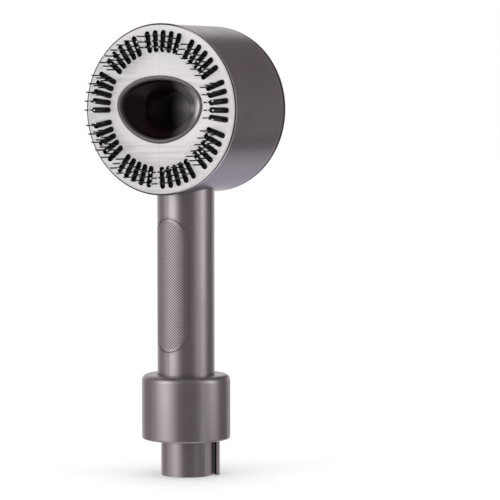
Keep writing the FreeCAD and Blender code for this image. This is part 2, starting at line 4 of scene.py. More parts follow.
import bmesh
import bpy
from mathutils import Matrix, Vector


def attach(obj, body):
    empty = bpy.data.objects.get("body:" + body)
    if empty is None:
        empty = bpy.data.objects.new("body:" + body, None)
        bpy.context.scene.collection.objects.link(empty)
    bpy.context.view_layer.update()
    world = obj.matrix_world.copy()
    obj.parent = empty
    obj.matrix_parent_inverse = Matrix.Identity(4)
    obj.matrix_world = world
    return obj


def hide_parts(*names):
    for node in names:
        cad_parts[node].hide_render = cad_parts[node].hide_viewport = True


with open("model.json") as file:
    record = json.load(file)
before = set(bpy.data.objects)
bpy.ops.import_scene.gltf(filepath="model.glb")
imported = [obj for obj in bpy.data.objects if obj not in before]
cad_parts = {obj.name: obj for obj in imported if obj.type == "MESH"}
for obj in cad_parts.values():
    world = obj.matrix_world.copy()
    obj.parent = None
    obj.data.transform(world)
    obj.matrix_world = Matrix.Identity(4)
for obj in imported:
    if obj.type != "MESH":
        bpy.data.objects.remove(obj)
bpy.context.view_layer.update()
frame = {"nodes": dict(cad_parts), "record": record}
nodes = frame["nodes"]

# Lengths are millimetres in the shared frame, apart from those of bumps, merging and the studio
MM = 0.001
DRUM_Z = 204.5
FACE_Y = -28.7
TUBE_R = 16.0

# The grip: the turn of its middle line off the face's direction, its ends, its gap and its knurl
GRIP_TURN = -8.5
GRIP_Z0 = 69.4
GRIP_Z1 = 144.1
GRIP_MID = (GRIP_Z0 + GRIP_Z1) / 2
GRIP_GAP = 0.16
GRIP_R = TUBE_R * math.sin(math.radians(41.0)) - GRIP_GAP
KNURL_ROUND = 1.7
KNURL_ALONG = 1.5


# Materials

# One procedural material: its shader, and short calls for the nodes that feed it
class Nodes:
    def __init__(self, name, base, metallic, roughness):
        self.material = bpy.data.materials.new(name)
        self.material.use_nodes = True
        self.tree = self.material.node_tree
        self.shader = self.tree.nodes["Principled BSDF"]
        self.base = base
        self.fix("Base Color", (*base, 1.0))
        self.fix("Metallic", metallic)
        self.fix("Roughness", roughness)

    def fix(self, socket, value):
        self.shader.inputs[socket].default_value = value

    def feed(self, socket, value):
        self.link(value, self.shader.inputs[socket])

    def add(self, kind, **values):
        node = self.tree.nodes.new(kind)
        for key, value in values.items():
            setattr(node, key, value)
        return node

    def link(self, source, target):
        self.tree.links.new(source, target)

    def coords(self, kind="Object"):
        return self.add("ShaderNodeTexCoord").outputs[kind]

    def split(self, vector):
        parts = self.add("ShaderNodeSeparateXYZ")
        self.link(vector, parts.inputs[0])
        return parts.outputs

    # The place on the part, in millimetres
    def place(self):
        return [self.times(part, 1.0 / MM) for part in self.split(self.coords())]

    def math(self, operation, *values):
        node = self.add("ShaderNodeMath", operation=operation)
        for socket, value in zip(node.inputs, values):
            if isinstance(value, (int, float)):
                socket.default_value = value
            else:
                self.link(value, socket)
        return node.outputs[0]

    def times(self, first, second):
        return self.math("MULTIPLY", first, second)

    def away(self, value, level):
        return self.math("ABSOLUTE", self.math("SUBTRACT", value, level))

    def length(self, first, second):
        return self.math("SQRT", self.math("ADD", self.times(first, first), self.times(second, second)))

    # Coordinates turned about the handle's axis: out along a direction, and across it
    def turned(self, x, y, degrees):
        a = math.radians(degrees)
        out = self.math("ADD", self.times(x, math.cos(a)), self.times(y, math.sin(a)))
        across = self.math("SUBTRACT", self.times(y, math.cos(a)), self.times(x, math.sin(a)))
        return out, across

    def noise(self, scale, detail):
        node = self.add("ShaderNodeTexNoise")
        node.inputs["Scale"].default_value = scale
        node.inputs["Detail"].default_value = detail
        self.link(self.coords(), node.inputs["Vector"])
        return node.outputs[0]

    def mapped(self, value, start, end, low, high, smooth=False):
        node = self.add("ShaderNodeMapRange", interpolation_type="SMOOTHSTEP" if smooth else "LINEAR")
        for key, number in (("From Min", start), ("From Max", end), ("To Min", low), ("To Max", high)):
            node.inputs[key].default_value = number
        self.link(value, node.inputs["Value"])
        return node.outputs["Result"]

    # Goes from 0 at the start to 1 at the end, and fall goes from 1 to 0
    def rise(self, value, start, end, smooth=False):
        return self.mapped(value, start, end, 0.0, 1.0, smooth)

    def fall(self, value, start, end, smooth=False):
        return self.mapped(value, start, end, 1.0, 0.0, smooth)

    # Noise lies mostly between 0.3 and 0.7
    def spread(self, noise, low, high):
        return self.mapped(noise, 0.3, 0.7, low, high)

    def blend(self, factor, low, high):
        mix = self.add("ShaderNodeMix", data_type="RGBA")
        for socket, value in ((mix.inputs[6], low), (mix.inputs[7], high)):
            if isinstance(value, tuple):
                socket.default_value = (*value, 1.0)
            else:
                self.link(value, socket)
        self.link(factor, mix.inputs[0])
        return mix.outputs[2]

    def tint(self, factor, low, high):
        self.feed("Base Color", self.blend(factor, low, high))

    def bump(self, height, strength, distance):
        node = self.add("ShaderNodeBump")
        node.inputs["Strength"].default_value = strength
        node.inputs["Distance"].default_value = distance
        self.link(height, node.inputs["Height"])
        self.feed("Normal", node.outputs[0])


def shade(colour, factor):
    return tuple(min(1.0, part * factor) for part in colour)


# Painted metallic plastic: fine flake in the colour, cloudy gloss and a faint orange peel
def painted(name, base, metallic, roughness):
    n = Nodes(name, base, metallic, roughness)
    flake = n.noise(5200.0, 1.0)
    n.tint(n.spread(flake, 0.0, 1.0), shade(base, 0.93), shade(base, 1.07))
    cloud = n.noise(60.0, 3.0)
    n.feed("Roughness", n.spread(cloud, roughness - 0.025, roughness + 0.03))
    n.bump(n.noise(900.0, 2.0), 0.06, 0.00003)
    return n


# Plain moulded plastic or rubber: cloudy colour and gloss over a fine grain
def moulded(name, base, roughness):
    n = Nodes(name, base, 0.0, roughness)
    cloud = n.noise(180.0, 4.0)
    n.tint(n.spread(cloud, 0.0, 1.0), shade(base, 0.85), shade(base, 1.15))
    n.feed("Roughness", n.spread(cloud, roughness - 0.06, roughness + 0.06))
    n.bump(n.noise(2500.0, 2.0), 0.25, 0.00005)
    return n


# Bare steel: fine streaks in colour, gloss and height
def steel(name, base, roughness):
    n = Nodes(name, base, 1.0, roughness)
    streak = n.noise(1500.0, 2.0)
    n.tint(n.spread(streak, 0.0, 1.0), shade(base, 0.85), shade(base, 1.15))
    n.feed("Roughness", n.spread(streak, roughness - 0.05, roughness + 0.08))
    n.bump(streak, 0.1, 0.00002)
    return n


# By name: colour, then metallic for the painted ones, then roughness
GUNMETAL = (0.31, 0.278, 0.292)
PAINTED = {
    "gunmetal_plastic": (GUNMETAL, 0.95, 0.33),
    "drum_plastic": (GUNMETAL, 0.95, 0.33),
    "bezel_plastic": (GUNMETAL, 0.95, 0.33),
    "handle_plastic": (GUNMETAL, 0.95, 0.33),
    "collar_plastic": (GUNMETAL, 0.95, 0.33),
    "spigot_plastic": (GUNMETAL, 0.95, 0.33),
    "grip_rubber": (GUNMETAL, 0.95, 0.34),
    "grip_knurl": (GUNMETAL, 0.95, 0.44),
    "button_plastic": (shade(GUNMETAL, 0.95), 0.8, 0.3),
    "mouth_plastic": ((0.105, 0.087, 0.091), 0.5, 0.26),
    "silver_plate": ((0.52, 0.495, 0.506), 0.15, 0.55),
    "silver_cover": ((0.66, 0.63, 0.64), 0.5, 0.28),
}
MOULDED = {
    "black_rubber": ((0.005, 0.004, 0.004), 0.7),
    "black_plastic": ((0.01, 0.009, 0.009), 0.42),
    # Near black: painted shade for the walls of the face plate's slots
    "slot_wall": ((0.012, 0.01, 0.01), 0.6),
    # Light grey: painted light for the air duct's lit right wall
    "duct_plastic": ((0.58, 0.515, 0.525), 0.35),
}
STEEL = {
    "bristle_steel": ((0.022, 0.018, 0.018), 0.3),
    "bristle_tip": ((0.9, 0.88, 0.88), 0.25),
    "spring_steel": ((0.5, 0.5, 0.5), 0.25),
    "screw_steel": ((0.42, 0.41, 0.4), 0.3),
}
BLACK = (0.0, 0.0, 0.0)


# Place on the handle: out at the grip's middle line, across it, and along the handle
def handle_place(n):
    x, y, z = n.place()
    out, across = n.turned(x, y, GRIP_TURN - 90.0)
    return out, across, z


# Knurl: two crossing sets of grooves, with painted shade in them and a painted highlight on the
# diamonds between them
def knurl_material(n):
    out, across, z = handle_place(n)
    arc = n.times(n.math("ARCTAN2", across, out), TUBE_R)
    pitches_round = n.math("DIVIDE", arc, KNURL_ROUND)
    pitches_along = n.math("DIVIDE", z, KNURL_ALONG)
    lines = []
    for sign in ("ADD", "SUBTRACT"):
        part = n.math("FRACT", n.math(sign, pitches_round, pitches_along))
        lines.append(n.math("SUBTRACT", 0.5, n.away(part, 0.5)))
    height = n.rise(n.math("MINIMUM", *lines), 0.06, 0.26)
    # Painted shade in the grooves, painted highlight on the diamonds
    n.tint(height, shade(n.base, 0.25), shade(n.base, 1.7))


# Handle: a fine line pressed in around the inlay, darkened as painted shade in its groove, and the
# mould's parting line
LINE_RUN = 26.85
LINE_R = 11.3
OUT_OF_REACH = 9.0


def handle_material(n):
    out, across, z = handle_place(n)
    beyond = n.math("MAXIMUM", n.math("SUBTRACT", n.away(z, GRIP_MID), LINE_RUN), 0.0)
    ring = n.away(n.length(across, beyond), LINE_R)
    behind = n.times(n.math("LESS_THAN", out, 0.0), OUT_OF_REACH)
    ring = n.mapped(n.math("ADD", ring, behind), 0.1, 0.3, 0.75, 1.0)
    seam = n.mapped(n.math("ABSOLUTE", across), 0.08, 0.34, 0.55, 1.0)
    line = n.math("MINIMUM", ring, seam)
    # Both lines are drawn dark and bumped; the pressed-in line's darkness is painted shade in its
    # groove
    n.tint(line, BLACK, n.base)
    n.bump(line, 0.4, 0.00012)


# Mouth: the lip is lighter, and the polished bowl behind it is painted near black on its left as shade
# and grey on its right as painted light, with a painted highlight band at mid height and a painted
# highlight spot at its right edge
def mouth_material(n):
    x, y, z = n.place()
    height = n.away(z, DRUM_Z + 0.4)
    bowl = n.blend(n.rise(x, 4.0, 13.0, smooth=True), (0.006, 0.0022, 0.003), (0.075, 0.068, 0.071))
    painted_band = n.times(n.mapped(height, 0.3, 3.6, 0.5, 0.0, smooth=True), n.rise(x, 9.0, 17.0))
    bowl = n.blend(painted_band, bowl, (0.3, 0.275, 0.29))
    edge = n.times(n.fall(y, -26.7, -24.0), n.rise(x, 12.0, 22.0, smooth=True))
    painted_highlight = n.blend(n.rise(height, 2.0, 6.5, smooth=True), (0.98, 0.94, 0.96), (0.33, 0.315, 0.32))
    bowl = n.blend(edge, bowl, painted_highlight)
    facing = n.split(n.coords("Normal"))[0]
    inward = n.times(n.fall(facing, -0.5, -0.15), n.rise(x, 18.0, 23.0))
    inside = n.math("MAXIMUM", inward, n.rise(y, -28.5, -26.6, smooth=True))
    # Painted shade and painted light on the bowl and its inner right walls; the lip keeps the base
    # colour
    n.tint(inside, n.base, bowl)
    n.feed("Metallic", n.times(n.math("SUBTRACT", 1.0, inside), 0.5))
    n.fix("Specular IOR Level", 0.15)


# Face plate: lacquered, with painted light making it a little lighter towards its right, and a fine
# moulding seam down its middle
def plate_material(n):
    x = n.place()[0]
    seam = n.rise(n.math("ABSOLUTE", x), 0.1, 0.25)
    # Painted light: a little lighter towards the right
    face = n.blend(n.rise(x, -46.0, 46.0), shade(n.base, 0.97), shade(n.base, 1.24))
    n.tint(seam, shade(n.base, 0.98), face)
    n.fix("Coat Weight", 1.0)
    n.fix("Coat Roughness", 0.12)


# Air duct behind the mouth: painted shade on its left, and painted light on its right, most at mid
# height
def duct_material(n):
    x, y, z = n.place()
    height = n.away(z, DRUM_Z + 1.5)
    painted_lit_wall = n.blend(n.rise(height, 0.5, 4.5, smooth=True), shade(n.base, 1.35), n.base)
    # Painted shade on the left, painted light on the right
    n.tint(n.rise(x, -15.0, 3.0, smooth=True), (0.004, 0.004, 0.004), painted_lit_wall)


# Bezel: its front edge is painted dark as shade on the left and silver like the plate as painted light
# on the right, and its side is painted dark as shade with a painted highlight line at the joint
def bezel_material(n):
    x, y, z = n.place()
    back = n.math("SUBTRACT", y, FACE_Y)
    painted_highlight_line = n.times(n.rise(back, 1.6, 1.75), n.fall(back, 2.45, 2.6))
    side = n.blend(painted_highlight_line, shade(n.base, 0.25), shade(n.base, 3.2))
    edge = n.blend(n.rise(x, 8.0, 24.0), (0.02, 0.018, 0.019), (0.6, 0.575, 0.585))
    on_side = n.rise(back, 0.22, 0.38)
    # Painted shade and painted highlight on the front edge and the side
    n.tint(on_side, edge, side)
    n.feed("Metallic", n.math("MULTIPLY_ADD", on_side, 0.8, 0.15))


# Drum: painted shade behind the bezel and in a band low on its right, with a painted highlight line and
# painted shade as a dark edge at its rear
def drum_material(n):
    x, y, z = n.place()
    down = n.math("SUBTRACT", DRUM_Z, z)
    # Painted shade in a band low on the right side
    painted_band = n.times(n.rise(down, 11.0, 19.0, smooth=True), n.fall(down, 21.0, 34.0))
    side = n.blend(n.times(painted_band, n.rise(x, 0.0, 20.0)), n.base, shade(n.base, 0.67))
    side = n.blend(n.rise(y, -25.2, -24.7), shade(n.base, 0.65), side)
    side = n.blend(n.rise(n.away(y, 26.7), 0.3, 0.5), shade(n.base, 1.35), side)
    n.tint(n.rise(y, 28.3, 28.6), side, shade(n.base, 0.2))


# Metal turned on a lathe: its gloss is drawn out around the drum's axis
def spun_material(n):
    n.fix("Anisotropic", 0.75)
    n.feed("Tangent", n.add("ShaderNodeTangent", direction_type="RADIAL", axis="Y").outputs[0])


# Rear cover: spun silver with a darker sector as painted reflection, and a rim painted dark as shade
# where it meets the drum
def cover_material(n):
    x, y, z = n.place()
    up = n.math("SUBTRACT", z, DRUM_Z)
    turn = n.math("ARCTAN2", n.times(x, -1.0), up)
    start = n.rise(turn, math.radians(8.0), math.radians(40.0), smooth=True)
    end = n.fall(turn, math.radians(126.0), math.radians(152.0), smooth=True)
    # Painted reflection: a darker sector of the spun face
    face = n.blend(n.times(start, end), n.base, shade(n.base, 0.7))
    painted_shade_rim = n.times(n.fall(y, 30.5, 30.9), n.rise(n.length(x, up), 44.6, 45.0))
    n.tint(painted_shade_rim, face, shade(GUNMETAL, 0.12))
    spun_material(n)


# Lower tube: painted shade and then a painted highlight towards the key rail, whose foot is painted
# dark as shadow, and the rail's head painted lighter as highlight beyond 4.9 mm from its middle
RAIL_TURN = 30.0


def spigot_material(n):
    x, y, z = n.place()
    out, across = n.turned(x, y, RAIL_TURN)
    near_side = n.math("LESS_THAN", across, -0.5)
    # Painted shade, then painted highlight, on one side of the rail
    painted_dim = n.times(n.rise(out, 3.0, 8.0, smooth=True), near_side)
    tube = n.blend(painted_dim, n.base, shade(n.base, 0.55))
    tube = n.blend(n.times(n.rise(out, 10.0, 13.0), near_side), tube, shade(n.base, 2.2))
    flank = n.blend(n.rise(n.math("ABSOLUTE", across), 4.7, 4.9), n.base, shade(n.base, 2.1))
    rail = n.blend(n.rise(out, 16.85, 17.15), shade(n.base, 0.04), flank)
    n.tint(n.rise(out, 15.7, 15.9), tube, rail)


# Collar: a fine parting line of its mould down the front left, and painted shade on one side of it
COLLAR_SEAM_TURN = -102.6


def collar_material(n):
    x, y, z = n.place()
    across = n.turned(x, y, COLLAR_SEAM_TURN)[1]
    # Painted shade on one side of the parting line
    side = n.blend(n.rise(across, -0.1, 0.25), shade(n.base, 0.88), n.base)
    n.tint(n.rise(n.math("ABSOLUTE", across), 0.1, 0.3), shade(n.base, 0.7), side)


mats = {key: painted(key, *values) for key, values in PAINTED.items()}
mats.update({key: moulded(key, *values) for key, values in MOULDED.items()})
mats.update({key: steel(key, *values) for key, values in STEEL.items()})

knurl_material(mats["grip_knurl"])
handle_material(mats["handle_plastic"])
mouth_material(mats["mouth_plastic"])
plate_material(mats["silver_plate"])
duct_material(mats["duct_plastic"])
bezel_material(mats["bezel_plastic"])
drum_material(mats["drum_plastic"])
spun_material(mats["button_plastic"])
cover_material(mats["silver_cover"])
spigot_material(mats["spigot_plastic"])
collar_material(mats["collar_plastic"])
surface = {key: n.material for key, n in mats.items()}

# Every solid gets its slot's material, or its own one
OWN_MATERIAL = {
    "adapter_collar": "collar_plastic",
    "adapter_spigot": "spigot_plastic",
    "air_box": "duct_plastic",
    "drum_housing": "drum_plastic",
    "front_bezel": "bezel_plastic",
    "handle_tube": "handle_plastic",
}
node_slot = {row["node"]: row["material_slot"] for row in frame["record"]["subparts"]}
for name, obj in nodes.items():
    for k in range(len(obj.material_slots)):
        obj.material_slots[k].material = surface[OWN_MATERIAL.get(name, node_slot[name])]


# Solids that stay: their shared vertices are joined, their edges softened and their normals evened
JOIN_DISTANCE = 0.000002
SMOOTH_BELOW = math.radians(38)
BEVEL_ABOVE = math.radians(50)
BEVEL_WIDTH = {
    "drum_housing": 0.35,
    "front_bezel": 0.06,
    "rear_cover": 0.2,
    "adapter_collar": 0.25,
    "adapter_spigot": 0.2,
    "handle_tube": 0.12,
    "push_frame": 0.2,
    "air_box": 0.2,
    "guide_chassis": 0.2,
    "carrier_ring": 0.2,
    "return_spring": 0.0,
}


def geometry_group(name):
    tree = bpy.data.node_groups.new(name, "GeometryNodeTree")
    for way in ("INPUT", "OUTPUT"):
        tree.interface.new_socket("Geometry", in_out=way, socket_type="NodeSocketGeometry")
    return tree, tree.nodes.new("NodeGroupInput"), tree.nodes.new("NodeGroupOutput")


def clean_group():
    tree, source, target = geometry_group("clean_mesh")
    drop = tree.nodes.new("GeometryNodeRemoveAttribute")
    drop.inputs["Name"].default_value = "custom_normal"
    join = tree.nodes.new("GeometryNodeMergeByDistance")
    join.inputs["Distance"].default_value = JOIN_DISTANCE
    tree.links.new(source.outputs[0], drop.inputs[0])
    tree.links.new(drop.outputs[0], join.inputs[0])
    tree.links.new(join.outputs[0], target.inputs[0])
    return tree


def smooth_group():
    tree, source, target = geometry_group("smooth_mesh")
    faces = tree.nodes.new("GeometryNodeSetShadeSmooth")
    edges = tree.nodes.new("GeometryNodeSetShadeSmooth")
    edges.domain = "EDGE"
    angle = tree.nodes.new("GeometryNodeInputMeshEdgeAngle")
    blunt = tree.nodes.new("FunctionNodeCompare")
    blunt.operation = "LESS_EQUAL"
    blunt.inputs[1].default_value = SMOOTH_BELOW
    tree.links.new(source.outputs[0], faces.inputs["Geometry"])
    tree.links.new(faces.outputs[0], edges.inputs["Geometry"])
    tree.links.new(angle.outputs[0], blunt.inputs[0])
    tree.links.new(blunt.outputs[0], edges.inputs["Shade Smooth"])
    tree.links.new(edges.outputs[0], target.inputs[0])
    return tree


CLEAN = clean_group()
SMOOTH = smooth_group()


def soften(name, width):
    obj = nodes[name]
    obj.modifiers.new("clean", "NODES").node_group = CLEAN
    if width:
        bevel = obj.modifiers.new("edges", "BEVEL")
        bevel.width = width * MM
        bevel.segments = 2
        bevel.limit_method = "ANGLE"
        bevel.angle_limit = BEVEL_ABOVE
        bevel.use_clamp_overlap = True
    obj.modifiers.new("smooth", "NODES").node_group = SMOOTH
    if width:
        even = obj.modifiers.new("even", "WEIGHTED_NORMAL")
        even.mode = "FACE_AREA_WITH_ANGLE"
        even.weight = 80
        even.keep_sharp = True


for name, width in BEVEL_WIDTH.items():
    soften(name, width)


# Mesh tools

def turns(steps):
    return [2 * math.pi * i / steps for i in range(steps)]


# Faces look outward and are smooth, apart from edges sharper than the angle, in degrees
def finish_mesh(mesh, angle, join=0.0):
    work = bmesh.new()
    work.from_mesh(mesh)
    if join:
        bmesh.ops.remove_doubles(work, verts=work.verts, dist=join)
    bmesh.ops.delete(work, geom=[v for v in work.verts if not v.link_faces], context="VERTS")
    bmesh.ops.recalc_face_normals(work, faces=work.faces)
    work.to_mesh(mesh)
    work.free()
    for poly in mesh.polygons:
        poly.use_smooth = True
    mesh.set_sharp_from_angle(angle=math.radians(angle))


def place_piece(name, mesh, body):
    obj = bpy.data.objects.new(name, mesh)
    bpy.context.scene.collection.objects.link(obj)
    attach(obj, body)
    return obj


def new_piece(name, verts, faces, body, materials, angle):
    mesh = bpy.data.meshes.new(name)
    mesh.from_pydata([(x * MM, y * MM, z * MM) for x, y, z in verts], [], faces)
    mesh.update()
    finish_mesh(mesh, angle)
    for key in materials:
        mesh.materials.append(surface[key])
    return place_piece(name, mesh, body)


# One skin over closed rings of points; the last ring joins the first
def closed_skin(rings):
    verts = [point for ring in rings for point in ring]
    faces = []
    count = len(rings[0])
    for k in range(len(rings)):
        m = (k + 1) % len(rings)
        for i in range(count):
            j = (i + 1) % count
            faces.append((k * count + i, k * count + j, m * count + j, m * count + i))
    return verts, faces


# Mouth: a wide oval lip, deeper below its widest line than above, and a bowl that leads to a throat
LIP_A = 27.0
LIP_TOP = 16.33
LIP_LOW = 21.05
LIP_RISE = 2.3
LIP_POWER = 1.86
LIP_W = 2.5
LIP_NECK = 0.98
LIP_SEAT = 0.02
LIP_EDGE = 0.12
LIP_PROUD = 0.6
LIP_FALL = 1.3
THROAT_A = 12.5
THROAT_B = 9.8
THROAT_RUN = 2.5
MOUTH_BACK = FACE_Y + 0.3
MOUTH_END = -6.5
MOUTH_WALL = 1.45
MOUTH_STEPS = 192
ROUND_STEPS = 6
BOWL_STEPS = 32
OUTSIDE_STEPS = 16


def oval(a, top, low, rise, power, y):
    ring = []
    for t in turns(MOUTH_STEPS):
        c = math.cos(t)
        s = math.sin(t)
        n = power if s < 0 else 2.0
        h = low if s < 0 else top
        x = a * math.copysign(abs(c) ** (2 / n), c)
        z = rise + h * math.copysign(abs(s) ** (2 / n), s)
        ring.append((x, y, DRUM_Z + z))
    return ring


def lip_ring(grow, y):
    return oval(LIP_A + grow, LIP_TOP + grow, LIP_LOW + grow, LIP_RISE, LIP_POWER, y)


# A share of 1 is the bowl's edge inside the lip, and a share of 0 is the throat
def bowl_ring(share, grow, y):
    a = THROAT_A + (LIP_A - LIP_W - THROAT_A) * share + grow
    top = THROAT_B + (LIP_TOP - LIP_W - THROAT_B) * share + grow
    low = THROAT_B + (LIP_LOW - LIP_W - THROAT_B) * share + grow
    power = 2.0 + (LIP_POWER - 2.0) * share
    return oval(a, top, low, LIP_RISE * share, power, y)


# The bowl's section: how deep, as a part of its depth, and the share there
BOWL = ((0.0, 1.0), (0.05, 0.985), (0.12, 0.87), (0.22, 0.56), (0.34, 0.24), (0.52, 0.06), (1.0, 0.0))


# Smooth reading of the section between those stations
def bowl_share(t):
    for k in range(len(BOWL) - 1):
        if t <= BOWL[k + 1][0]:
            break
    before = BOWL[max(k - 1, 0)]
    start = BOWL[k]
    end = BOWL[k + 1]
    after = BOWL[min(k + 2, len(BOWL) - 1)]
    step = end[0] - start[0]
    s = (t - start[0]) / step
    slope_start = (end[1] - before[1]) / (end[0] - before[0]) * step
    slope_end = (after[1] - start[1]) / (after[0] - start[0]) * step
    share = (2 * s ** 3 - 3 * s ** 2 + 1) * start[1] + (s ** 3 - 2 * s ** 2 + s) * slope_start
    share += (-2 * s ** 3 + 3 * s ** 2) * end[1] + (s ** 3 - s ** 2) * slope_end
    return max(0.0, min(1.0, share))


def mouth():
    half = LIP_W / 2
    crest = FACE_Y - LIP_PROUD
    bowl_start = crest + LIP_FALL
    bowl_end = MOUTH_END - THROAT_RUN
    rings = [lip_ring(-LIP_NECK, MOUTH_BACK), lip_ring(-LIP_NECK, FACE_Y + LIP_SEAT),
             lip_ring(0.0, FACE_Y - LIP_SEAT), lip_ring(0.0, FACE_Y - LIP_EDGE)]
    quarter = [math.radians(90 * k / ROUND_STEPS) for k in range(1, ROUND_STEPS + 1)]
    for a in quarter:
        y = FACE_Y - LIP_EDGE - (LIP_PROUD - LIP_EDGE) * math.sin(a)
        rings.append(lip_ring(-half * (1 - math.cos(a)), y))
    for a in quarter:
        rings.append(lip_ring(-half - half * math.sin(a), crest + LIP_FALL * (1 - math.cos(a))))
    for k in range(1, BOWL_STEPS + 1):
        t = k / BOWL_STEPS
        rings.append(bowl_ring(bowl_share(t), 0.0, bowl_start + (bowl_end - bowl_start) * t))
    rings.append(bowl_ring(0.0, 0.0, MOUTH_END))
    rings.append(bowl_ring(0.0, MOUTH_WALL, MOUTH_END))
    for k in range(OUTSIDE_STEPS, -1, -1):
        t = k / OUTSIDE_STEPS
        rings.append(bowl_ring(bowl_share(t), MOUTH_WALL, MOUTH_BACK + (bowl_end - MOUTH_BACK) * t))
    verts, faces = closed_skin(rings)
    obj = new_piece("mouth_shell", verts, faces, "brush", ["mouth_plastic"], 50.0)
    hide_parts("mouth_funnel")


mouth()


# Face plate: nine groups of five round-ended slots, drawn flat and then stood up at the face
SLOT_R0 = 31.3
SLOT_R1 = 43.5
SLOT_HALF = 3.1016 / 2
SLOT_END_STEPS = 12
GROUPS = 9
SLOTS = 5
GROUP_START = 3.4
SLOT_PITCH = 7.0
PLATE_R = 46.25
PLATE_T = 1.6
PLATE_STEPS = 256
PLATE_EDGE = 0.06
PLATE_HOLE = 0.95
PLATE_JOIN = 0.000001
SLOT_ZONE_R = 45.0
WALL_SLOPE = 0.3
WALL_START = 0.1


def slot_angles(group):
    mid = GROUP_START + 360.0 * group / GROUPS
    return [mid + SLOT_PITCH * (j - (SLOTS - 1) / 2.0) for j in range(SLOTS)]


def slot_outline(angle):
    a = math.radians(angle)
    ring = []
    for centre, start in ((SLOT_R1 - SLOT_HALF, 0), (SLOT_R0 + SLOT_HALF, 180)):
        for k in range(SLOT_END_STEPS + 1):
            t = math.radians(start + 180 * k / SLOT_END_STEPS)
            x = SLOT_HALF * math.cos(t)
            z = centre + SLOT_HALF * math.sin(t)
            ring.append((x * math.cos(a) + z * math.sin(a), -x * math.sin(a) + z * math.cos(a)))
    return ring


def add_loop(curve, points):
    spline = curve.splines.new("POLY")
    spline.points.add(len(points) - 1)
    for point, (x, y) in zip(spline.points, points):
        point.co = (x * MM, y * MM, 0, 1)
    spline.use_cyclic_u = True


def flat_plate():
    curve = bpy.data.curves.new("plate_outline", "CURVE")
    curve.dimensions = "2D"
    curve.fill_mode = "BOTH"
    curve.extrude = (PLATE_T / 2 - PLATE_EDGE) * MM
    curve.bevel_depth = PLATE_EDGE * MM
    curve.bevel_resolution = 1
    curve.offset = -PLATE_EDGE * MM
    add_loop(curve, [(PLATE_R * math.cos(t), PLATE_R * math.sin(t)) for t in turns(PLATE_STEPS)])
    add_loop(curve, [(x, z - DRUM_Z) for x, y, z in lip_ring(-PLATE_HOLE, 0)])
    for group in range(GROUPS):
        for angle in slot_angles(group):
            add_loop(curve, slot_outline(angle))
    holder = bpy.data.objects.new("plate_holder", curve)
    bpy.context.scene.collection.objects.link(holder)
    bpy.context.view_layer.update()
    depsgraph = bpy.context.evaluated_depsgraph_get()
    mesh = bpy.data.meshes.new_from_object(holder.evaluated_get(depsgraph))
    bpy.data.objects.remove(holder)
    return mesh


def plate():
    mesh = flat_plate()
    for vertex in mesh.vertices:
        x, y, z = vertex.co
        vertex.co = (x, (FACE_Y + PLATE_T / 2) * MM + z, DRUM_Z * MM + y)
    finish_mesh(mesh, 40.0, join=PLATE_JOIN)
    mesh.materials.clear()
    mesh.materials.append(surface["silver_plate"])
    mesh.materials.append(surface["slot_wall"])
    # The slot walls take the near-black second material as painted shade inside the slots
    for poly in mesh.polygons:
        x, y, z = poly.center
        in_zone = math.hypot(x, z - DRUM_Z * MM) < SLOT_ZONE_R * MM
        behind_edge = y > (FACE_Y + WALL_START) * MM
        if in_zone and behind_edge and abs(poly.normal.y) < WALL_SLOPE:
            poly.material_index = 1
    obj = place_piece("slotted_plate", mesh, "brush")
    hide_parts("face_plate")


plate()


# Bristles: three straight wires to a slot, each with a pale ball at its tip, in the second material
WIRE_RADII = (34.3, 37.4, 40.5)
WIRE_R = 0.39
WIRE_TIP = FACE_Y - 12.9
WIRE_END = -25.1
WIRE_SIDES = 12
BALL_R = 0.55
BALL_NECK = 0.9
BALL_ANGLES = (130, 110, 90, 68, 46, 24)


def wire(verts, faces, marks, radius, angle):
    a = math.radians(angle)
    x0 = radius * math.sin(a)
    z0 = DRUM_Z + radius * math.cos(a)
    rings = [(WIRE_R, WIRE_END), (WIRE_R, WIRE_TIP + BALL_NECK)]
    for degrees in BALL_ANGLES:
        t = math.radians(degrees)
        rings.append((BALL_R * math.sin(t), WIRE_TIP + BALL_R - BALL_R * math.cos(t)))
    base = len(verts)
    for r, y in rings:
        for t in turns(WIRE_SIDES):
            verts.append((x0 + r * math.cos(t), y, z0 + r * math.sin(t)))
    tip = len(verts)
    end = tip + 1
    verts.append((x0, WIRE_TIP, z0))
    verts.append((x0, WIRE_END, z0))
    for k in range(len(rings) - 1):
        low = base + k * WIRE_SIDES
        high = low + WIRE_SIDES
        for i in range(WIRE_SIDES):
            j = (i + 1) % WIRE_SIDES
            faces.append((low + i, low + j, high + j, high + i))
            marks.append(1 if k >= 1 else 0)
    last = base + (len(rings) - 1) * WIRE_SIDES
    for i in range(WIRE_SIDES):
        j = (i + 1) % WIRE_SIDES
        faces.append((last + i, last + j, tip))
        marks.append(1)
        faces.append((base + j, base + i, end))
        marks.append(0)


def wires(group):
    verts = []
    faces = []
    marks = []
    for angle in slot_angles(group):
        for radius in WIRE_RADII:
            wire(verts, faces, marks, radius, angle)
    materials = ["bristle_steel", "bristle_tip"]
    obj = new_piece("wires_%d" % (group + 1), verts, faces, "carrier", materials, 60.0)
    for poly, mark in zip(obj.data.polygons, marks):
        poly.material_index = mark
    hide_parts("bristles_%d" % (group + 1))


for group in range(GROUPS):
    wires(group)


# Knurled grip: a smooth rim around real diamonds, on the handle's curve
GRIP_ROWS = 340
GRIP_COLUMNS = 110
GRIP_END_ROWS = 14
COLUMN_EASE = 0.25
LEAST = 0.0001
GRIP_TOP_R = 15.9
GRIP_BACK_R = 15.12
GRIP_FACE_R = 15.5
RIM_W = 0.45
RIM_DROP = 0.3
KNURL_EDGE = 1.5
KNURL_FADE = 0.25
KNURL_LINE = 0.24
KNURL_HIGH = 0.15
KNURL_SINK = 0.11


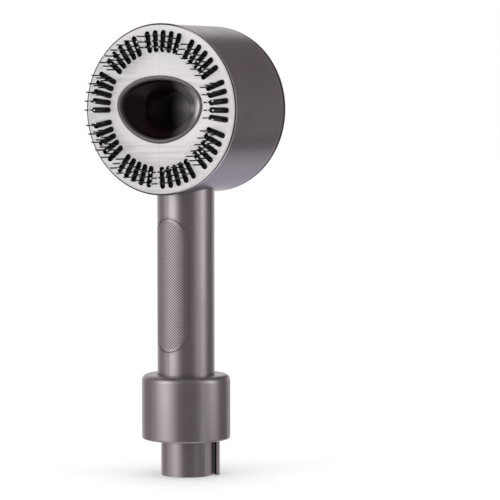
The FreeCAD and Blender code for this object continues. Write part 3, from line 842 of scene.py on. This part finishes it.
# How far beyond the straight middle a height is, on the inlay's round ends
def beyond_straight(z):
    z0 = GRIP_Z0 + GRIP_GAP
    z1 = GRIP_Z1 - GRIP_GAP
    return max(abs(z - GRIP_MID) - ((z1 - z0) / 2 - GRIP_R), 0.0)


# How far inside the inlay's outline a place is
def grip_depth(x, z):
    return GRIP_R - math.hypot(x, beyond_straight(z))


def line_distance(t):
    return 0.5 - abs(t - math.floor(t) - 0.5)


def knurl_height(arc, z):
    u = arc / KNURL_ROUND
    v = z / KNURL_ALONG
    t = min(1.0, min(line_distance(u + v), line_distance(u - v)) / KNURL_LINE)
    return t * t * (3 - 2 * t)


def grip_radius(x, theta, z):
    depth = grip_depth(x, z)
    if depth > KNURL_EDGE:
        share = min(1.0, (depth - KNURL_EDGE) / KNURL_FADE)
        return GRIP_TOP_R + share * (knurl_height(TUBE_R * theta, z) * KNURL_HIGH - KNURL_SINK)
    return GRIP_TOP_R - RIM_DROP * max(0.0, 1 - depth / RIM_W) ** 2


def grip_point(theta, z, r):
    a = math.radians(GRIP_TURN - 90.0) + theta
    return (r * math.cos(a), r * math.sin(a), z)


# Rows lie closer together at both round ends
def grip_heights():
    z0 = GRIP_Z0 + GRIP_GAP
    z1 = GRIP_Z1 - GRIP_GAP
    end = (z1 - z0) * GRIP_END_ROWS / GRIP_ROWS
    heights = []
    for k in range(GRIP_ROWS + 1):
        z = z0 + (z1 - z0) * (k / GRIP_ROWS)
        if k < GRIP_END_ROWS:
            z = z0 + end * (k / GRIP_END_ROWS) ** 2
        if k > GRIP_ROWS - GRIP_END_ROWS:
            z = z1 - end * ((GRIP_ROWS - k) / GRIP_END_ROWS) ** 2
        heights.append(z)
    return heights


def grip():
    places = []
    for z in grip_heights():
        half = math.sqrt(max(GRIP_R ** 2 - beyond_straight(z) ** 2, LEAST))
        for i in range(GRIP_COLUMNS + 1):
            share = 2 * i / GRIP_COLUMNS - 1
            x = half * math.sin(math.pi / 2 * share) * COLUMN_EASE + half * share * (1 - COLUMN_EASE)
            theta = math.asin(max(-1.0, min(1.0, x / TUBE_R)))
            places.append((theta, z, grip_radius(x, theta, z)))
    verts = [grip_point(theta, z, r) for theta, z, r in places]
    verts += [grip_point(theta, z, GRIP_BACK_R) for theta, z, r in places]
    back = len(places)
    count = GRIP_COLUMNS + 1
    faces = []
    for k in range(GRIP_ROWS):
        low = k * count
        high = low + count
        for i in range(GRIP_COLUMNS):
            faces.append((low + i, low + i + 1, high + i + 1, high + i))
        for i in (0, GRIP_COLUMNS):
            faces.append((low + i, high + i, back + high + i, back + low + i))
    materials = ["grip_rubber", "grip_knurl"]
    obj = new_piece("knurled_grip", verts, faces, "brush", materials, 80.0)
    for poly in obj.data.polygons:
        x, y, z = poly.center / MM
        across = TUBE_R * math.sin(math.atan2(y, x) - math.radians(GRIP_TURN - 90.0))
        if grip_depth(across, z) > KNURL_EDGE and math.hypot(x, y) > GRIP_FACE_R:
            poly.material_index = 1
    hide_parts("grip_pad")


grip()


# Thumb button: a domed cap with a rounded edge on a long skirt
BUTTON_TOP = 33.2
BUTTON_R = 15.5
BUTTON_END = 11.6
BUTTON_ROUND = 0.8
BUTTON_WALL = 1.4
BUTTON_THICK = 3.3
BUTTON_STEPS = 160
DOME_R = 14.0
DOME_H = 1.3
DOME_POWER = 1.3
DOME_STEPS = 14
AXIS_R = 0.0001


def button():
    profile = [(AXIS_R, BUTTON_TOP - DOME_H)]
    for k in range(1, DOME_STEPS + 1):
        t = k / DOME_STEPS
        profile.append((DOME_R * t, BUTTON_TOP - DOME_H * (1 - t * t) ** DOME_POWER))
    for degrees in range(80, -1, -10):
        a = math.radians(degrees)
        profile.append((BUTTON_R - BUTTON_ROUND * (1 - math.cos(a)),
                        BUTTON_TOP - BUTTON_ROUND * (1 - math.sin(a))))
    inner = BUTTON_R - BUTTON_WALL
    profile += [(BUTTON_R, BUTTON_END), (inner, BUTTON_END), (inner, BUTTON_TOP - BUTTON_THICK),
                (AXIS_R, BUTTON_TOP - BUTTON_THICK)]
    rings = []
    for a in turns(BUTTON_STEPS):
        rings.append([(r * math.sin(a), y, DRUM_Z + r * math.cos(a)) for r, y in profile])
    verts, faces = closed_skin(rings)
    obj = new_piece("thumb_cap", verts, faces, "carrier", ["button_plastic"], 40.0)
    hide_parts("thumb_button")


button()


# Studio, in metres and degrees

# The floor is white, and what camera, gloss and glass see of it is lifted a little to meet the backdrop
def floor_material():
    n = Nodes("floor_white", (0.93, 0.93, 0.93), 0.0, 0.85)
    n.fix("Specular IOR Level", 0.1)
    n.fix("Emission Color", (1, 1, 1, 1))
    ray = n.add("ShaderNodeLightPath").outputs
    seen = n.math("MAXIMUM", ray["Is Camera Ray"], ray["Is Glossy Ray"])
    seen = n.math("MAXIMUM", seen, ray["Is Transmission Ray"])
    n.feed("Emission Strength", n.times(seen, 0.1))
    return n.material


# Cards are grey planes that show only in reflections, and their faint purple is the metal's sheen
CARD_TINT = (1.13, 1.0, 1.09)


def card_material(name, level, tint):
    material = bpy.data.materials.new(name)
    material.use_nodes = True
    tree = material.node_tree
    tree.nodes.clear()
    out = tree.nodes.new("ShaderNodeOutputMaterial")
    emit = tree.nodes.new("ShaderNodeEmission")
    emit.inputs["Color"].default_value = (*[level * part for part in tint], 1.0)
    tree.links.new(emit.outputs[0], out.inputs[0])
    return material


def stage_plane(name, size, location, rotation, material):
    bpy.ops.mesh.primitive_plane_add(size=1.0, location=location, rotation=rotation)
    obj = bpy.context.object
    obj.name = name
    obj.scale = (size[0], size[1], 1.0)
    obj.data.materials.append(material)
    return obj


# Upright panels stand on a circle around the object's axis and face it, and a turn of 0 is the camera's
STUDIO_TURN = 29.98


def stand(turn, distance, low, high):
    a = math.radians(STUDIO_TURN + turn)
    location = Vector((math.sin(a), -math.cos(a), 0)) * distance + Vector((0, 0, (low + high) / 2))
    return location, (math.pi / 2, 0, a)


def soft_light(name, turn, distance, width, low, high, radiance):
    data = bpy.data.lights.new(name, "AREA")
    data.shape = "RECTANGLE"
    data.size = width
    data.size_y = high - low
    data.energy = radiance * width * (high - low) * math.pi
    obj = bpy.data.objects.new(name, data)
    obj.location, obj.rotation_euler = stand(turn, distance, low, high)
    bpy.context.scene.collection.objects.link(obj)
    obj.visible_camera = False


def card(name, size, location, rotation, level, tint=CARD_TINT):
    obj = stage_plane(name, size, location, rotation, card_material(name, level, tint))
    obj.visible_camera = False
    obj.visible_diffuse = False
    obj.visible_shadow = False


def upright_card(name, turn, distance, width, low, high, level, tint=CARD_TINT):
    location, rotation = stand(turn, distance, low, high)
    card(name, (width, high - low), location, rotation, level, tint)


floor = stage_plane("floor", (14.0, 14.0), (0, 0, -0.0002), (0, 0, 0), floor_material())
floor.visible_glossy = False

soft_light("light_left", -58.0, 1.5, 0.85, -0.15, 1.3, 1.7)
soft_light("light_right", 72.0, 1.5, 0.5, -0.09, 1.3, 1.45)
upright_card("card_front", 6.0, 1.95, 2.6, -2.0, 2.2, 0.205)
upright_card("card_back_right", 112.0, 1.15, 0.95, -0.46, 2.3, 0.19)
upright_card("card_high_right", 146.0, 1.15, 0.8, 0.30, 2.3, 0.19)
upright_card("card_low_right", 152.0, 1.2, 0.95, -2.0, -0.02, 0.72, (0.97, 0.93, 1.08))
upright_card("card_back_left", -117.0, 1.5, 1.25, -2.0, 2.2, 0.42)
upright_card("card_low_left_dim", -72.0, 1.5, 0.5, -2.0, -0.16, 0.35)
upright_card("card_low_left_light", -50.0, 1.5, 0.65, -2.0, -0.16, 0.85)
upright_card("card_low_right_dim", 67.0, 1.5, 0.92, -2.0, -0.1, 0.2)
upright_card("card_low_right_light", 98.0, 1.5, 0.6, -2.0, -0.09, 0.55)
card("card_top", (2.2, 2.2), (0, 0, 1.35), (0, 0, 0), 0.22)

world = bpy.data.worlds.new("studio")
bpy.context.scene.world = world
world.use_nodes = True
world.node_tree.nodes["Background"].inputs["Color"].default_value = (1, 1, 1, 1)
world.node_tree.nodes["Background"].inputs["Strength"].default_value = 1.0

# The camera's place in metres, its turn from straight in front of the face, and its tilt down
CAMERA_PLACE = (0.71858, -1.24544, 0.21261)
CAMERA_TURN = math.radians(28.555)
CAMERA_TILT = math.radians(3.4516)

camera_data = bpy.data.cameras.new("camera")
camera = bpy.data.objects.new("camera", camera_data)
bpy.context.scene.collection.objects.link(camera)
camera.location = CAMERA_PLACE
ahead = math.cos(CAMERA_TILT)
look = Vector((-math.sin(CAMERA_TURN) * ahead, math.cos(CAMERA_TURN) * ahead, -math.sin(CAMERA_TILT)))
camera.rotation_euler = look.to_track_quat("-Z", "Y").to_euler()
camera_data.sensor_width = 36.0
camera_data.lens = 185.438
camera_data.clip_start = 0.05
camera_data.clip_end = 50.0
bpy.context.scene.camera = camera
bpy.context.scene.view_settings.view_transform = "Standard"

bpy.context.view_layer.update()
